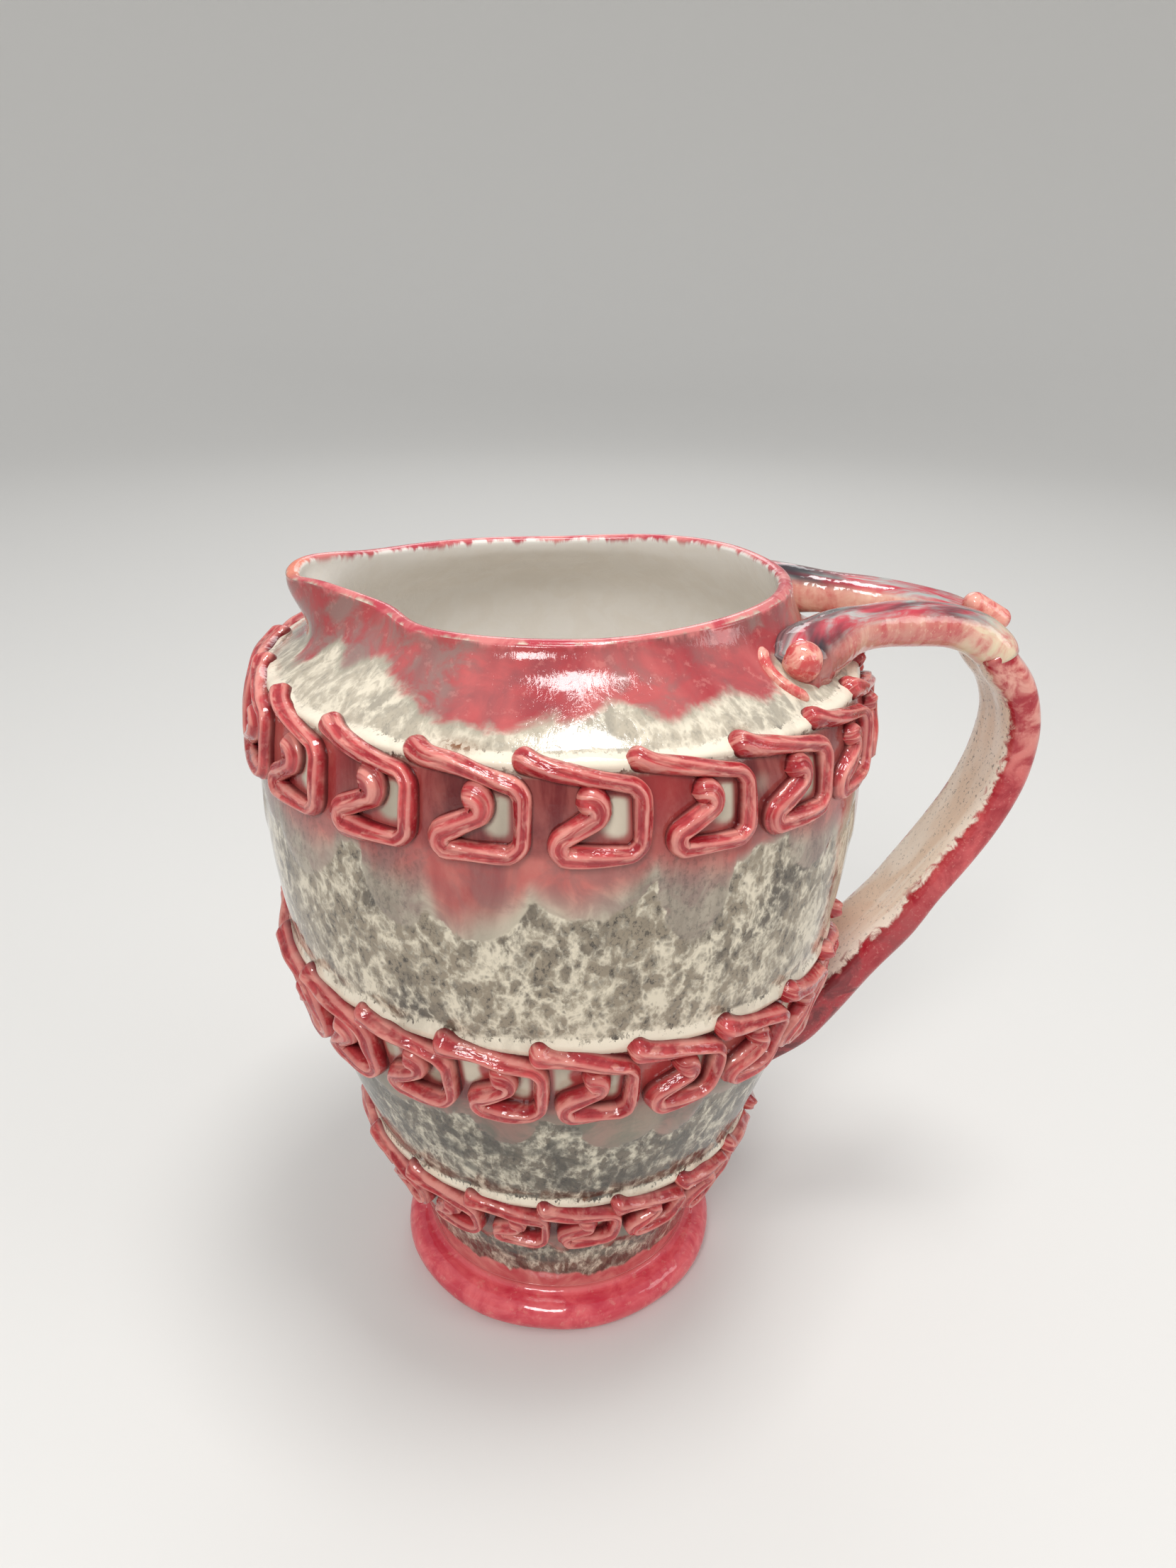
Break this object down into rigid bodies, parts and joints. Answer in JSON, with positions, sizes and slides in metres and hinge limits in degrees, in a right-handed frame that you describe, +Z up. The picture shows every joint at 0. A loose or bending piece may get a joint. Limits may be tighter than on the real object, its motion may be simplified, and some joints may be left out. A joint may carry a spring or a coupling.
{
  "type": "jug",
  "caption": "Glazed stoneware jug with a wide belly, narrow rolled foot, pulled pouring lip, forked handle and bands of trailed running keys.",
  "frame": {"origin": "middle of the flat base, on the axis of the belly", "axes": "+Z up along the belly's axis, +X from the axis towards the handle, the lip on the -X side"},
  "size_m": [0.2154, 0.1654, 0.2213],
  "materials": {
    "body_glaze": "glossy cream glaze with a grey lace pattern and red and grey-green runs",
    "collar_glaze": "glossy crimson to cream glaze with mauve-grey streaks",
    "foot_glaze": "glossy pink-red glaze",
    "strap_glaze": "glossy crimson glaze on the edges, cream with grey spatter inside",
    "branch_glaze": "glossy mottled pink and peach glaze with grey-green streaks",
    "pellet_glaze": "glossy red-pink glaze",
    "key_glaze": "glossy red-pink glaze, lighter on the crests of the cord"
  },
  "bodies": {
    "root": {"body_wall": "body_glaze", "shoulder_collar": "collar_glaze", "foot_ring": "foot_glaze", "handle_strap": "strap_glaze", "front_branch": "branch_glaze", "rear_branch": "branch_glaze", "thumb_rest": "pellet_glaze", "front_pellet": "pellet_glaze", "rear_pellet": "pellet_glaze", "front_ridge": "pellet_glaze", "rear_ridge": "pellet_glaze", "lower_keys": "key_glaze", "upper_key_1": "key_glaze", "upper_key_2": "key_glaze", "upper_key_3": "key_glaze", "upper_key_4": "key_glaze", "upper_key_5": "key_glaze", "upper_key_6": "key_glaze", "upper_key_7": "key_glaze", "upper_key_8": "key_glaze", "upper_key_9": "key_glaze", "upper_key_10": "key_glaze", "upper_key_11": "key_glaze", "upper_key_12": "key_glaze", "upper_key_13": "key_glaze", "upper_key_14": "key_glaze", "upper_key_15": "key_glaze", "upper_key_16": "key_glaze", "upper_key_17": "key_glaze", "upper_key_18": "key_glaze", "upper_key_19": "key_glaze", "upper_key_20": "key_glaze", "middle_key_1": "key_glaze", "middle_key_2": "key_glaze", "middle_key_3": "key_glaze", "middle_key_4": "key_glaze", "middle_key_5": "key_glaze", "middle_key_6": "key_glaze", "middle_key_7": "key_glaze", "middle_key_8": "key_glaze", "middle_key_9": "key_glaze", "middle_key_10": "key_glaze", "middle_key_11": "key_glaze", "middle_key_12": "key_glaze", "middle_key_13": "key_glaze", "middle_key_14": "key_glaze", "middle_key_15": "key_glaze", "middle_key_16": "key_glaze", "middle_key_17": "key_glaze", "middle_key_18": "key_glaze", "middle_key_19": "key_glaze", "middle_key_20": "key_glaze", "middle_key_21": "key_glaze"}
  },
  "joints": []
}
